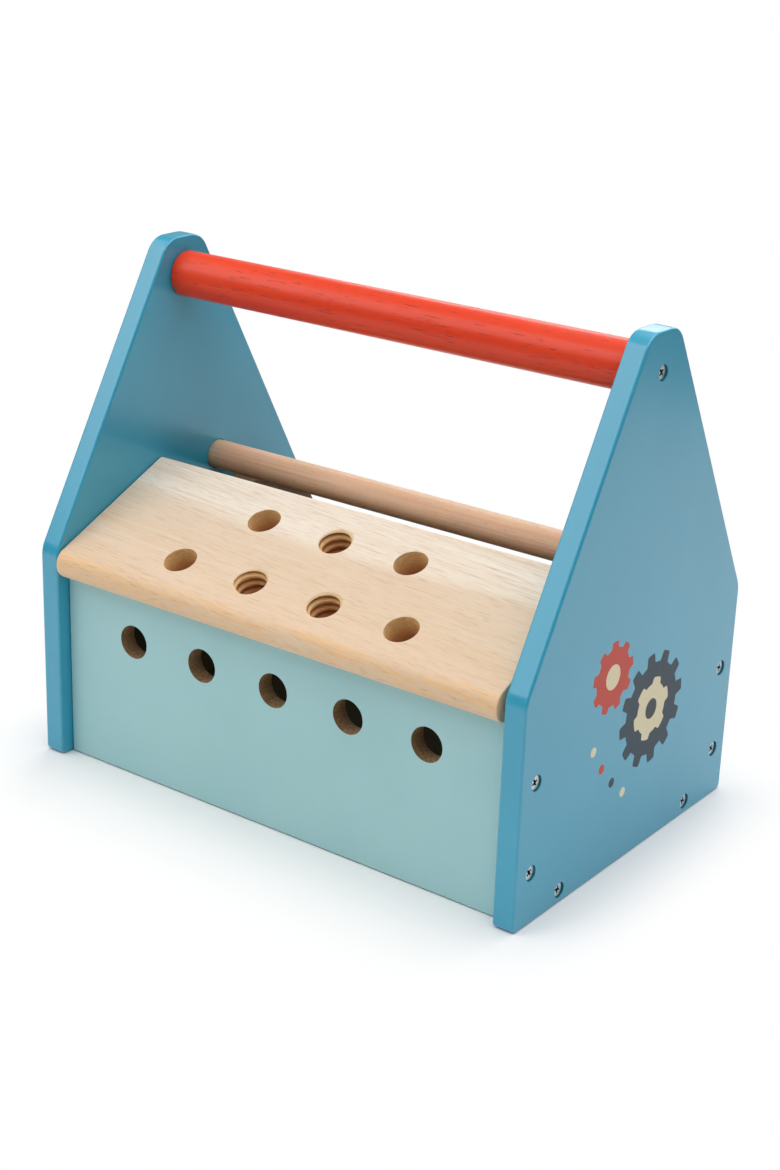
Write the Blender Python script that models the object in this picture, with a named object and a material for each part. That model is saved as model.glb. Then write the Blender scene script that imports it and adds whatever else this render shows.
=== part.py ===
"""Carry-along wooden toy tool box with a lifting peg bench.

Metres, +Z up. X runs along the box, the bench slopes down towards -Y, and the origin
lies on the ground under the middle of the box. Every piece is an object of its own.
"""

import math

import bmesh
import bpy
from mathutils import Matrix, Vector

# The box as a whole
box_length = 0.2740
box_depth = 0.1800
fit_gap = 0.0003
cut_overrun = 0.0020

# End panels: painted boards, straight to the shoulder, then sloping in to the crown
end_panel_thickness = 0.0106
end_panel_height = 0.2420
shoulder_height = 0.1050
crown_half_width = 0.0117
crown_radius = 0.0120
shoulder_radius = 0.0140
foot_radius = 0.0030
end_panel_arris = 0.0012

# Front and rear walls: thinner boards between the end panels
wall_thickness = 0.0090
wall_height = 0.0910
wall_ground_gap = 0.0005
wall_arris = 0.0008
front_setback = 0.0070
rear_setback = 0.0065
front_hole_count = 5
front_hole_diameter = 0.0162
front_hole_pitch = 0.0422
front_hole_drop = 0.0220

# Floor board
floor_thickness = 0.0090
floor_underside = 0.0018
floor_arris = 0.0005

# Handle: a round bar between the end panels
handle_diameter = 0.0221
handle_drop = 0.0180
handle_arris = 0.0010

# Bench: a sloping board with a full round nose, which lifts on two pins
bench_thickness = 0.0151
bench_reach = 0.0830
bench_tilt = math.radians(23.7)
bench_rear_radius = 0.0025
bench_arris = 0.0007
bench_gap_left = 0.0004
bench_gap_right = 0.0029
nose_overhang = 0.0012
bench_hole_diameter = 0.0158
bench_hole_pitch = 0.0420
bench_row_margin = 0.0228
front_row = ("plain", "threaded", "threaded", "plain")
rear_row = ("plain", "threaded", "plain")
thread_minor_diameter = 0.0142
thread_depth = 0.0011
thread_pitch = 0.0044
thread_start_depths = (0.0016, 0.0028, 0.0027)
thread_form_shares = (1.0, 0.5, 0.0, 0.0, 0.5)
thread_mouth = 0.0014

# Pins of the bench, fixed in its ends and turning in the end panels
pin_diameter = 0.0050
pin_inset = 0.0076
pin_socket_depth = 0.0060
pin_bench_depth = 0.0140
pin_arris = 0.0004

# Rear dowel, placed from the pins because the opened bench lies back on it
rear_dowel_diameter = 0.0147
dowel_behind_pins = 0.0455
dowel_above_pins = 0.0009
dowel_socket_depth = 0.0050
dowel_arris = 0.0008

# Cleats: blocks on the end panels that the bench rests on, level behind it
cleat_thickness = 0.0150
cleat_swing_clearance = 0.0030
cleat_arris = 0.0006
cleat_screw_length = 0.0220
cleat_screw_spacing = 0.0560
cleat_screw_rear_margin = 0.0400

# Countersunk cross-head screws
screw_length = 0.0300
screw_head_diameter = 0.0066
screw_rim = 0.0004
screw_cone = 0.0017
screw_shank_diameter = 0.0034
screw_tip = 0.0030
screw_sink = 0.0010
screw_slot_width = 0.0009
screw_slot_length = 0.0038
screw_slot_depth = 0.0013
wall_screw_margin = 0.0246
floor_screw_margin = 0.0355

# Fineness of round shapes
peg_hole_sides = 28
bar_sides = 32
screw_sides = 16
thread_sides = 20
full_turn = 2 * math.pi

# Places worked out from the sizes
inner_half_length = box_length / 2 - end_panel_thickness
front_face = -box_depth / 2 + front_setback
rear_face = box_depth / 2 - rear_setback
handle_axis_height = end_panel_height - handle_drop
handle_radius = handle_diameter / 2
floor_middle = floor_underside + floor_thickness / 2

slope = Vector((0, math.cos(bench_tilt), math.sin(bench_tilt)))
square_up = Vector((0, -math.sin(bench_tilt), math.cos(bench_tilt)))
bench_radius = bench_thickness / 2
wall_top_arris = Vector((0, front_face, wall_height))
nose_centre_y = -box_depth / 2 - nose_overhang + bench_radius
nose_run = (nose_centre_y - front_face + (fit_gap + bench_radius) * math.sin(bench_tilt)) / math.cos(bench_tilt)
nose_centre = wall_top_arris + (fit_gap + bench_radius) * square_up + nose_run * slope
pin_from_nose = bench_reach - bench_radius - pin_inset
pin_axis = nose_centre + pin_from_nose * slope
dowel_axis = pin_axis + Vector((0, dowel_behind_pins, dowel_above_pins))

rear_corner_reach = math.hypot(pin_inset - bench_rear_radius, bench_radius - bench_rear_radius)
rear_swing_radius = rear_corner_reach + bench_rear_radius
cleat_top = pin_axis.z - rear_swing_radius - cleat_swing_clearance
cleat_bottom = wall_height + fit_gap


def piece(name, mesh, material, parent=None):
    """Make an object of a finished mesh, in its own material and shaded smooth round its curves."""
    mesh.shade_smooth()
    mesh.set_sharp_from_angle(angle=math.radians(32))
    mesh.materials.clear()
    mesh.materials.append(material)
    made = bpy.data.objects.new(name, mesh)
    made.parent = parent
    bpy.context.scene.collection.objects.link(made)
    return made


def finish(name, shape):
    """Turn a bmesh into a mesh with its faces pointing outwards."""
    bmesh.ops.recalc_face_normals(shape, faces=shape.faces)
    mesh = bpy.data.meshes.new(name)
    shape.to_mesh(mesh)
    shape.free()
    return mesh


def paint(name, colour, roughness, metallic=0.0):
    """A plain Principled material."""
    material = bpy.data.materials.new(name)
    material.use_nodes = True
    shader = material.node_tree.nodes["Principled BSDF"]
    shader.inputs["Base Color"].default_value = (*colour, 1)
    shader.inputs["Roughness"].default_value = roughness
    shader.inputs["Metallic"].default_value = metallic
    return material


def rounded_outline(corners):
    """Round the corners of an outline. A corner is (across, up, radius, steps)."""
    points = []
    for number, (across, up, radius, steps) in enumerate(corners):
        corner = Vector((across, up))
        if radius == 0:
            points.append(corner)
            continue
        back = (Vector(corners[number - 1][:2]) - corner).normalized()
        ahead = (Vector(corners[(number + 1) % len(corners)][:2]) - corner).normalized()
        half_angle = back.angle(ahead) / 2
        middle = (back + ahead).normalized()
        centre = corner + middle * radius / math.sin(half_angle)
        start = corner + back * radius / math.tan(half_angle) - centre
        turn = start.angle_signed(corner + ahead * radius / math.tan(half_angle) - centre)
        for step in range(steps + 1):
            points.append(centre + Matrix.Rotation(-turn * step / steps, 2) @ start)
    return points


def prism(name, outline, low, high):
    """Extrude an outline of the YZ plane along X, from low to high."""
    shape = bmesh.new()
    rim = [shape.verts.new((low, point[0], point[1])) for point in outline]
    face = shape.faces.new(rim)
    grown = bmesh.ops.extrude_face_region(shape, geom=[face])["geom"]
    far_end = [item for item in grown if isinstance(item, bmesh.types.BMVert)]
    bmesh.ops.translate(shape, verts=far_end, vec=(high - low, 0, 0))
    return finish(name, shape)


def block(name, low, high):
    """A rectangular board between two corners."""
    outline = [(low[1], low[2]), (high[1], low[2]), (high[1], high[2]), (low[1], high[2])]
    return prism(name, outline, low[0], high[0])


def ease_edges(made, width, segments=2):
    """Break a board's sharp edges, as sanding does."""
    bevel = made.modifiers.new("eased edges", "BEVEL")
    bevel.width = width
    bevel.segments = segments
    bevel.limit_method = "ANGLE"
    bevel.angle_limit = math.radians(50)


def add_turned(shape, profile, sides, place):
    """Spin a profile of (distance along the axis, radius) about X, then put it in its place."""
    before = set(shape.verts)
    points = [shape.verts.new((along, 0, radius)) for along, radius in profile]
    edges = [shape.edges.new(pair) for pair in zip(points, points[1:])]
    bmesh.ops.spin(
        shape,
        geom=points + edges,
        cent=(0, 0, 0),
        axis=(1, 0, 0),
        angle=full_turn,
        steps=sides,
        use_merge=True,
    )
    turned = [vert for vert in shape.verts if vert not in before]
    bmesh.ops.remove_doubles(shape, verts=turned, dist=fit_gap / 100)
    turned = [vert for vert in shape.verts if vert not in before]
    bmesh.ops.transform(shape, matrix=place, verts=turned)


def turned(name, profile, sides, place):
    """One turned body as a mesh."""
    shape = bmesh.new()
    add_turned(shape, profile, sides, place)
    return finish(name, shape)


def bar_profile(low, high, radius, arris):
    """A round bar from low to high with both ends eased."""
    return [
        (low, 0),
        (low, radius - arris),
        (low + arris, radius),
        (high - arris, radius),
        (high, radius - arris),
        (high, 0),
    ]


def drill_profile(low, high, radius):
    """A plain round cutter from low to high."""
    return [(low, 0), (low, radius), (high, radius), (high, 0)]


def cutter(name, mesh, parent=None):
    """A hidden shape that only cuts."""
    made = bpy.data.objects.new(name, mesh)
    made.parent = parent
    made.hide_render = True
    made.display_type = "WIRE"
    bpy.context.scene.collection.objects.link(made)
    return made


def cut(made, tool):
    """Cut one object with another."""
    boolean = made.modifiers.new(tool.name, "BOOLEAN")
    boolean.operation = "DIFFERENCE"
    boolean.solver = "EXACT"
    boolean.object = tool


def facing(side):
    """Turn +X, the way a screw points in, so that it points inwards from the end at this side."""
    return Matrix.Rotation(math.pi if side > 0 else 0, 4, "Z")


def screw_profile(length, clearance=0.0):
    """A countersunk screw from the face of its head to its tip, or with a clearance the hole for one."""
    head = screw_head_diameter / 2 + clearance
    shank = screw_shank_diameter / 2 + clearance
    cone_end = screw_rim + screw_cone + clearance
    return [
        (0, 0),
        (0, head),
        (screw_rim + clearance, head),
        (cone_end, shank),
        (length - screw_tip + clearance, shank),
        (length + clearance, shank / 4),
        (length + clearance, 0),
    ]


def screw_hole_profile(length):
    """The hole for a screw, with a counterbore that runs out past the surface above the sunk head."""
    hole = screw_profile(length, fit_gap)
    outside = -screw_sink - cut_overrun
    return [(outside, 0), (outside, hole[1][1])] + hole[2:]


def screw_mesh(name, length):
    """A screw with its cross recess cut, pointing along +X from the middle of its head's face."""
    body = bpy.data.objects.new(name, turned(name, screw_profile(length), screw_sides, Matrix.Identity(4)))
    bpy.context.scene.collection.objects.link(body)
    recess = bmesh.new()
    half_length, half_width = screw_slot_length / 2, screw_slot_width / 2
    cross = [
        (half_length, half_width), (half_width, half_width), (half_width, half_length),
        (-half_width, half_length), (-half_width, half_width), (-half_length, half_width),
        (-half_length, -half_width), (-half_width, -half_width), (-half_width, -half_length),
        (half_width, -half_length), (half_width, -half_width), (half_length, -half_width),
    ]
    rim = [recess.verts.new((-cut_overrun, across, up)) for across, up in cross]
    grown = bmesh.ops.extrude_face_region(recess, geom=[recess.faces.new(rim)])["geom"]
    floor = [item for item in grown if isinstance(item, bmesh.types.BMVert)]
    bmesh.ops.translate(recess, verts=floor, vec=(cut_overrun + screw_slot_depth, 0, 0))
    tool = cutter(name + " recess", finish(name + " recess", recess))
    cut(body, tool)
    graph = bpy.context.evaluated_depsgraph_get()
    finished = bpy.data.meshes.new_from_object(body.evaluated_get(graph))
    bpy.data.objects.remove(body)
    bpy.data.objects.remove(tool)
    return finished


def thread_tool(name, spots):
    """Closed threaded cutters for the bench, one at each spot, about the spot's own Z axis.

    The rows of points climb one pitch in a turn, so row number k at the end of a turn
    meets row number k + rows_in_pitch at its start. A quarter turn on, at the rear of the
    hole, the uppermost groove's middle lies at the spot's start depth below the top face.
    """
    rows_in_pitch = len(thread_form_shares)
    turns = math.ceil((bench_radius + cut_overrun) / thread_pitch) + 1
    rows = rows_in_pitch * 2 * turns
    shape = bmesh.new()
    for number, spot in enumerate(spots):
        start_depth = thread_start_depths[number % len(thread_start_depths)]
        start = bench_radius - start_depth - thread_pitch / 4
        lowest = start % thread_pitch - turns * thread_pitch
        place = Matrix.Translation(spot)
        columns = []
        for side in range(thread_sides):
            angle = full_turn * side / thread_sides
            climb = thread_pitch * side / thread_sides
            column = []
            for row in range(rows + 1 + (rows_in_pitch if side == 0 else 0)):
                share = thread_form_shares[row % rows_in_pitch]
                radius = thread_minor_diameter / 2 + thread_depth * share
                height = lowest + thread_pitch * row / rows_in_pitch + climb
                point = Vector((radius * math.cos(angle), radius * math.sin(angle), height))
                column.append(shape.verts.new(place @ point))
            columns.append(column)
        columns.append(columns[0][rows_in_pitch:])
        for left, right in zip(columns, columns[1:]):
            for row in range(rows):
                shape.faces.new((left[row], right[row], right[row + 1], left[row + 1]))
        for first, height in ((0, lowest), (rows, lowest + thread_pitch * 2 * turns)):
            rim = [column[first] for column in columns]
            rim += columns[0][first + 1:first + rows_in_pitch][::-1]
            hub = shape.verts.new(place @ Vector((0, 0, height + thread_pitch / 2)))
            for here, there in zip(rim, rim[1:] + rim[:1]):
                shape.faces.new((hub, here, there))
    return cutter(name, finish(name, shape))


def drills(name, places, profile, sides):
    """Several plain cutters as one object, one at each place, about their own X axis."""
    shape = bmesh.new()
    for place in places:
        add_turned(shape, profile, sides, place)
    return cutter(name, finish(name, shape))


def main_screw_places(side):
    """Where the seven screws of one end panel stand, by name."""
    low = wall_screw_margin
    high = wall_height - wall_screw_margin
    front_middle = front_face + wall_thickness / 2
    rear_middle = rear_face - wall_thickness / 2
    floor_reach = box_depth / 2 - floor_screw_margin
    spots = {
        "handle": (0, handle_axis_height),
        "front_wall_upper": (front_middle, high),
        "front_wall_lower": (front_middle, low),
        "rear_wall_upper": (rear_middle, high),
        "rear_wall_lower": (rear_middle, low),
        "floor_front": (-floor_reach, floor_middle),
        "floor_rear": (floor_reach, floor_middle),
    }
    head_face = side * (box_length / 2 - screw_sink)
    return {
        name: Matrix.Translation((head_face, across, up)) @ facing(side)
        for name, (across, up) in spots.items()
    }


def cleat_screw_places(side):
    """Where the two screws of one cleat stand, with their heads inside the box."""
    head_face = side * (inner_half_length - fit_gap - cleat_thickness + screw_sink)
    up = (cleat_bottom + cleat_top) / 2
    rear = rear_face - cleat_screw_rear_margin
    spots = {"rear": rear, "front": rear - cleat_screw_spacing}
    return {
        name: Matrix.Translation((head_face, across, up)) @ facing(-side)
        for name, across in spots.items()
    }


def end_panel(name, side, material):
    """One gable-shaped end panel."""
    half_depth = box_depth / 2
    lean = math.hypot(half_depth - crown_half_width, end_panel_height - shoulder_height)
    shoulder = min(shoulder_radius, lean / 2)
    outline = rounded_outline([
        (-half_depth, 0, foot_radius, 3),
        (half_depth, 0, foot_radius, 3),
        (half_depth, shoulder_height, shoulder, 4),
        (crown_half_width, end_panel_height, crown_radius, 7),
        (-crown_half_width, end_panel_height, crown_radius, 7),
        (-half_depth, shoulder_height, shoulder, 4),
    ])
    near, far = sorted((side * inner_half_length, side * box_length / 2))
    made = piece(name, prism(name, outline, near, far), material)
    ease_edges(made, end_panel_arris)
    return made


def wall(name, outer_face, inward, material):
    """A board between the end panels, standing on the ground, with its outer face given."""
    half_length = inner_half_length - fit_gap
    near, far = sorted((outer_face, outer_face + inward * wall_thickness))
    low = (-half_length, near, wall_ground_gap)
    high = (half_length, far, wall_height)
    made = piece(name, block(name, low, high), material)
    ease_edges(made, wall_arris)
    return made


def floor_board(material):
    """The board between the two walls and the two end panels."""
    half_length = inner_half_length - fit_gap
    low = (-half_length, front_face + wall_thickness + fit_gap, floor_underside)
    high = (half_length, rear_face - wall_thickness - fit_gap, floor_underside + floor_thickness)
    made = piece("floor_board", block("floor_board", low, high), material)
    ease_edges(made, floor_arris, 1)
    return made


def handle_bar(material):
    """The round carrying bar."""
    half_length = inner_half_length - fit_gap
    profile = bar_profile(-half_length, half_length, handle_radius, handle_arris)
    place = Matrix.Translation((0, 0, handle_axis_height))
    return piece("handle_bar", turned("handle_bar", profile, bar_sides, place), material)


def rear_dowel(material):
    """The thin dowel, let into a blind socket in each end panel."""
    half_length = inner_half_length + dowel_socket_depth - fit_gap
    profile = bar_profile(-half_length, half_length, rear_dowel_diameter / 2, dowel_arris)
    place = Matrix.Translation(dowel_axis)
    return piece("rear_dowel", turned("rear_dowel", profile, bar_sides, place), material)


def cleat(name, side, material):
    """A block with a ramp under the bench, a level top behind it and a rear end that follows the gable."""
    front = front_face + wall_thickness + fit_gap
    ramp_rise = math.tan(bench_tilt)
    ramp_start = wall_height + (front - front_face) * ramp_rise
    level_from = front + (cleat_top - ramp_start) / ramp_rise
    gable_rise = (end_panel_height - shoulder_height) / (box_depth / 2 - crown_half_width)
    level_to = rear_face - (cleat_top - cleat_bottom) / gable_rise
    outline = [
        (front, cleat_bottom),
        (rear_face, cleat_bottom),
        (level_to, cleat_top),
        (level_from, cleat_top),
        (front, ramp_start),
    ]
    outer = inner_half_length - fit_gap
    near, far = sorted((side * outer, side * (outer - cleat_thickness)))
    made = piece(name, prism(name, outline, near, far), material)
    ease_edges(made, cleat_arris, 1)
    return made


def bench_spot(across, from_nose):
    """A place in the bench's own frame, at mid thickness, a distance back from the nose's foremost line."""
    middle = (bench_gap_left - bench_gap_right) / 2
    return Vector((middle + across, from_nose - bench_reach + pin_inset, 0))


def row_spots(kinds, from_nose, wanted):
    """The holes of one kind in one row of the bench."""
    half = (len(kinds) - 1) / 2
    return [
        bench_spot((number - half) * bench_hole_pitch, from_nose)
        for number, kind in enumerate(kinds)
        if kind == wanted
    ]


def bench_lid(hinge, material):
    """The peg bench, in its own frame: X along the pins, Y up the slope, Z square to the board.

    The threaded holes open at the top face in a countersunk mouth at 45 degrees.
    """
    nose = -pin_from_nose
    nose_steps = 10
    arc = [
        (
            nose - bench_radius * math.sin(math.pi * step / nose_steps),
            bench_radius * math.cos(math.pi * step / nose_steps),
        )
        for step in range(nose_steps + 1)
    ]
    rear = rounded_outline([
        (nose, -bench_radius, 0, 0),
        (pin_inset, -bench_radius, bench_rear_radius, 3),
        (pin_inset, bench_radius, bench_rear_radius, 3),
        (nose, bench_radius, 0, 0),
    ])[1:-1]
    low = -inner_half_length + bench_gap_left
    high = inner_half_length - bench_gap_right
    made = piece("bench_lid", prism("bench_lid", arc + rear, low, high), material, hinge)
    ease_edges(made, bench_arris)

    rows = ((front_row, bench_row_margin), (rear_row, bench_reach - bench_row_margin))
    plain = [spot for kinds, margin in rows for spot in row_spots(kinds, margin, "plain")]
    threaded = [spot for kinds, margin in rows for spot in row_spots(kinds, margin, "threaded")]
    reach = bench_radius + cut_overrun
    upright = Matrix.Rotation(math.pi / 2, 4, "Y")
    plain_places = [Matrix.Translation(spot) @ upright for spot in plain]
    profile = drill_profile(-reach, reach, bench_hole_diameter / 2)
    plain_tool = drills("bench_hole_cutter", plain_places, profile, peg_hole_sides)
    thread = thread_tool("bench_thread_cutter", threaded)
    thread_radius = thread_minor_diameter / 2
    mouth_profile = [
        (-reach, 0),
        (-reach, thread_radius + thread_mouth + cut_overrun),
        (thread_mouth - bench_radius, thread_radius),
        (thread_mouth - bench_radius, 0),
    ]
    mouth_places = [Matrix.Translation(spot) @ upright for spot in threaded]
    mouth = drills("bench_mouth_cutter", mouth_places, mouth_profile, peg_hole_sides)
    for tool in (plain_tool, thread, mouth):
        tool.parent = hinge
        cut(made, tool)
    return made


def pin_ends(side):
    """Where one pin of the bench starts in its end panel and ends in the bench, along X."""
    gap = bench_gap_left if side < 0 else bench_gap_right
    outer = side * (inner_half_length + pin_socket_depth)
    inner = side * (inner_half_length - gap - pin_bench_depth)
    return sorted((outer, inner))


def lid_pin(name, side, hinge, material):
    """A steel pin in the end of the bench, reaching into the end panel."""
    low, high = pin_ends(side)
    profile = bar_profile(low + fit_gap, high - fit_gap, pin_diameter / 2, pin_arris)
    return piece(name, turned(name, profile, screw_sides, Matrix.Identity(4)), material, hinge)


def build():
    for old in list(bpy.data.objects):
        bpy.data.objects.remove(old)

    blue = paint("blue paint", (0.10, 0.30, 0.42), 0.5)
    teal = paint("pale teal paint", (0.33, 0.52, 0.53), 0.5)
    red = paint("orange-red paint", (0.75, 0.045, 0.015), 0.4)
    pale_wood = paint("pale rubberwood", (0.78, 0.62, 0.44), 0.6)
    warm_wood = paint("warm beech", (0.58, 0.38, 0.22), 0.6)
    brown_board = paint("brown fibreboard", (0.30, 0.19, 0.11), 0.7)
    steel = paint("bright steel", (0.60, 0.60, 0.62), 0.3, 1.0)

    hinge = bpy.data.objects.new("lid_hinge", None)
    hinge.location = pin_axis
    hinge.rotation_euler = (bench_tilt, 0, 0)
    bpy.context.scene.collection.objects.link(hinge)

    front_wall = wall("front_wall", front_face, 1, teal)
    rear_wall = wall("rear_wall", rear_face, -1, teal)
    floor = floor_board(brown_board)
    handle = handle_bar(red)
    rear_dowel(warm_wood)
    bench = bench_lid(hinge, pale_wood)

    to_rear = Matrix.Rotation(math.pi / 2, 4, "Z")
    half_count = (front_hole_count - 1) / 2
    hole_height = wall_height - front_hole_drop
    hole_places = [
        Matrix.Translation(((number - half_count) * front_hole_pitch, front_face, hole_height)) @ to_rear
        for number in range(front_hole_count)
    ]
    hole_profile = drill_profile(-cut_overrun, wall_thickness + cut_overrun, front_hole_diameter / 2)
    cut(front_wall, drills("front_hole_cutter", hole_places, hole_profile, peg_hole_sides))

    main_screw = screw_mesh("main_screw", screw_length)
    short_screw = screw_mesh("short_screw", cleat_screw_length)
    for end, side in (("left", -1), ("right", 1)):
        panel = end_panel("end_panel_" + end, side, blue)
        block_here = cleat("cleat_" + end, side, warm_wood)
        lid_pin("lid_pin_" + end, side, hinge, steel)

        places = main_screw_places(side)
        hole = screw_hole_profile(screw_length)
        tool = drills("screw_cutter_" + end, places.values(), hole, screw_sides)
        for holed in (panel, front_wall, rear_wall, floor, handle):
            cut(holed, tool)
        for name, place in places.items():
            made = piece(f"screw_{name}_{end}", main_screw, steel)
            made.matrix_world = place

        places = cleat_screw_places(side)
        hole = screw_hole_profile(cleat_screw_length)
        tool = drills("cleat_screw_cutter_" + end, places.values(), hole, screw_sides)
        for holed in (panel, block_here):
            cut(holed, tool)
        for name, place in places.items():
            made = piece(f"cleat_screw_{name}_{end}", short_screw, steel)
            made.matrix_world = place

        low, high = pin_ends(side)
        bore = drill_profile(low, high, pin_diameter / 2 + fit_gap)
        pin_tool = drills("pin_cutter_" + end, [Matrix.Translation(pin_axis)], bore, screw_sides)
        cut(panel, pin_tool)
        cut(bench, pin_tool)

        mouth = side * (inner_half_length - cut_overrun)
        bottom = side * (inner_half_length + dowel_socket_depth)
        socket = drill_profile(min(mouth, bottom), max(mouth, bottom), rear_dowel_diameter / 2 + fit_gap)
        cut(panel, drills("dowel_cutter_" + end, [Matrix.Translation(dowel_axis)], socket, bar_sides))


build()
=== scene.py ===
"""A wooden toy tool box: painted gable ends, a red carrying bar and a peg bench that lifts.

Metres, +Z up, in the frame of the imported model: X runs along the box and the bench slopes
down to -Y. The sections follow the box as it is put together, and the studio comes last.
"""

import math

import bmesh
import bpy
import numpy as np
from mathutils import Matrix, Vector
from mathutils.geometry import tessellate_polygon


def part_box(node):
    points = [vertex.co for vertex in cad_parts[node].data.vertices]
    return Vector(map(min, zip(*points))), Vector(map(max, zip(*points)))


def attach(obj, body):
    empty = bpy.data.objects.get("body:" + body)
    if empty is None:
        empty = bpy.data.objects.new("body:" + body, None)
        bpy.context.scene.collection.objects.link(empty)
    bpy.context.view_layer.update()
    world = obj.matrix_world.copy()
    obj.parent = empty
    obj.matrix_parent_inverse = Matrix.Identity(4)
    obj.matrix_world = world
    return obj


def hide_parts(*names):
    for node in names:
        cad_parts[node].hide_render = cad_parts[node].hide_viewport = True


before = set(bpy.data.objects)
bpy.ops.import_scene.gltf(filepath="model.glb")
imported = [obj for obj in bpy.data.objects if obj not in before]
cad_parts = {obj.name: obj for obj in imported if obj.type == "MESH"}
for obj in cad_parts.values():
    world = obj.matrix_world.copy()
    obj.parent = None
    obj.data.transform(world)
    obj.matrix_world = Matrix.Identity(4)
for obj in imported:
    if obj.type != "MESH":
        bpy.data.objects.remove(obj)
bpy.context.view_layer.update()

# End panels
# Each end is a gable-shaped board of solid wood, sawn out, drilled, sanded round its edges and
# sprayed in satin blue, but left unpainted inside between the walls, where its dark brown is
# partly painted shade; its bore walls carry painted shade in darker teal. Everything else in the
# box is screwed to the two ends or set in them.

x_axis, y_axis, z_axis = np.eye(3)
end_on = np.array([y_axis, z_axis, x_axis])
ends = ((-1, "left"), (1, "right"))
panel_ease = 0.0012
crown_half_width = 0.0117
crown_radius = 0.0120
shoulder_height = 0.1050
shoulder_radius = 0.0140
foot_radius = 0.0030
seat_gap = 0.0003
screw_head_radius = 0.0033
screw_head_rim = 0.0004
screw_head_cone = 0.0017
screw_shank_radius = 0.0017
screw_sink = 0.0010
bore_rim = 0.00025
bore_ease = 0.0001
bore_sides = 48
corner_steps = 8
ease_steps = 5
closest = 1e-9
flat_pull = 1000
cleat_screw_depth = 0.0080
dowel_socket_depth = 0.0050
pin_socket_depth = 0.0060
outer_face_depth = 0.1370
inner_face_depth = 0.1264
wall_height = 0.0910
wall_inside = 0.0740
ink_edge = 0.00012
tooth_share = 0.20
slate = (46, 58, 70)
brick = (206, 66, 40)
ivory = (236, 224, 188)
print_shapes = (
    (slate, (0.0140, 0.0680), 0.0245, 12),
    (ivory, (0.0140, 0.0680), 0.0134, 6),
    (slate, (0.0140, 0.0680), 0.0048, 0),
    (brick, (-0.0220, 0.0950), 0.0150, 9),
    (ivory, (-0.0220, 0.0950), 0.0058, 0),
    (ivory, (-0.0340, 0.0640), 0.0023, 0),
    (brick, (-0.0260, 0.0530), 0.0023, 0),
    (slate, (-0.0165, 0.0430), 0.0023, 0),
    (ivory, (-0.0060, 0.0345), 0.0023, 0),
)


class Shell:
    """A closed skin, put together from grids of points and the flat faces between their edges."""

    def __init__(self):
        self.points = np.zeros((0, 3))
        self.cuts = np.zeros(0)
        self.faces = []
        self.flat = []

    def grid(self, points, cut=0.0, left_out=()):
        """Add rows of points, each closed into a ring, and return the points' numbers.

        cut says how far into a hole the surface lies: 0 outside, 1 in a drilled hole, 2 deep in a
        thread.
        Finishes use it for raw wood and for painted shade in holes.
        left_out lists the cells, as (row, column), that a flat face with holes fills instead.
        """
        rows, columns = points.shape[:2]
        numbers = len(self.points) + np.arange(rows * columns).reshape(rows, columns)
        beside = np.roll(numbers, -1, axis=1)
        cells = np.stack([numbers[:-1], beside[:-1], beside[1:], numbers[1:]], axis=-1)
        kept = np.ones(cells.shape[:2], bool)
        for cell in left_out:
            kept[cell] = False
        self.faces += cells[kept].tolist()
        self.flat += [False] * int(kept.sum())
        self.points = np.concatenate([self.points, points.reshape(-1, 3)])
        self.cuts = np.concatenate([self.cuts, np.broadcast_to(cut, (rows, columns)).ravel()])
        return numbers

    def fill(self, *loops):
        """Close the flat region inside the first loop of numbers and outside the others."""
        numbers = np.concatenate(loops)
        corners = [[Vector(point) for point in self.points[loop]] for loop in loops]
        triangles = np.array(tessellate_polygon(corners))
        self.faces += numbers[triangles].tolist()
        self.flat += [True] * len(triangles)

    def close(self, skin, row, column, *rings):
        """Fill a cell that grid left out of a skin, around the rings of the holes in it."""
        after = (column + 1) % skin.shape[1]
        self.fill(skin[[row, row, row + 1, row + 1], [column, after, after, column]], *rings)

    def bore(self, profile, centre, along, across, sides):
        """Add the skin of a drilled hole and return its rings, from its mouth on."""
        return self.grid(turned(profile, centre, along, across, sides), cut_share(profile))

    def blind_bore(self, profile, centre, along):
        """Add a hole along X that is closed at its end, and return the ring of its mouth."""
        rings = self.bore(profile, centre, along, y_axis, bore_sides)
        self.fill(rings[-1])
        return rings[0]

    def make(self, name, finish, body, slot, *nodes):
        """Make the piece. A point's normal is the mean of its faces', and flat faces outweigh others."""
        mesh = bpy.data.meshes.new(name)
        mesh.from_pydata(self.points.tolist(), [], self.faces)
        shape = bmesh.new()
        shape.from_mesh(mesh)
        bmesh.ops.recalc_face_normals(shape, faces=shape.faces)
        shape.to_mesh(mesh)
        shape.free()
        count = len(mesh.polygons)
        facing = np.empty(count * 3)
        area = np.empty(count)
        sides = np.empty(count, int)
        corners = np.empty(len(mesh.loops), int)
        mesh.polygons.foreach_get("normal", facing)
        mesh.polygons.foreach_get("area", area)
        mesh.polygons.foreach_get("loop_total", sides)
        mesh.loops.foreach_get("vertex_index", corners)
        pull = facing.reshape(-1, 3) * (area * np.where(self.flat, flat_pull, 1))[:, None]
        normals = np.zeros_like(self.points)
        np.add.at(normals, corners, np.repeat(pull, sides, axis=0))
        normals /= np.linalg.norm(normals, axis=1, keepdims=True)
        mesh.shade_smooth()
        mesh.normals_split_custom_set_from_vertices(normals.tolist())
        mesh.attributes.new("cut", "FLOAT", "POINT").data.foreach_set("value", self.cuts)
        mesh.materials.append(finish.owner)
        made = bpy.data.objects.new(name, mesh)
        bpy.context.scene.collection.objects.link(made)
        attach(made, body)
        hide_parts(*nodes)


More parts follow.
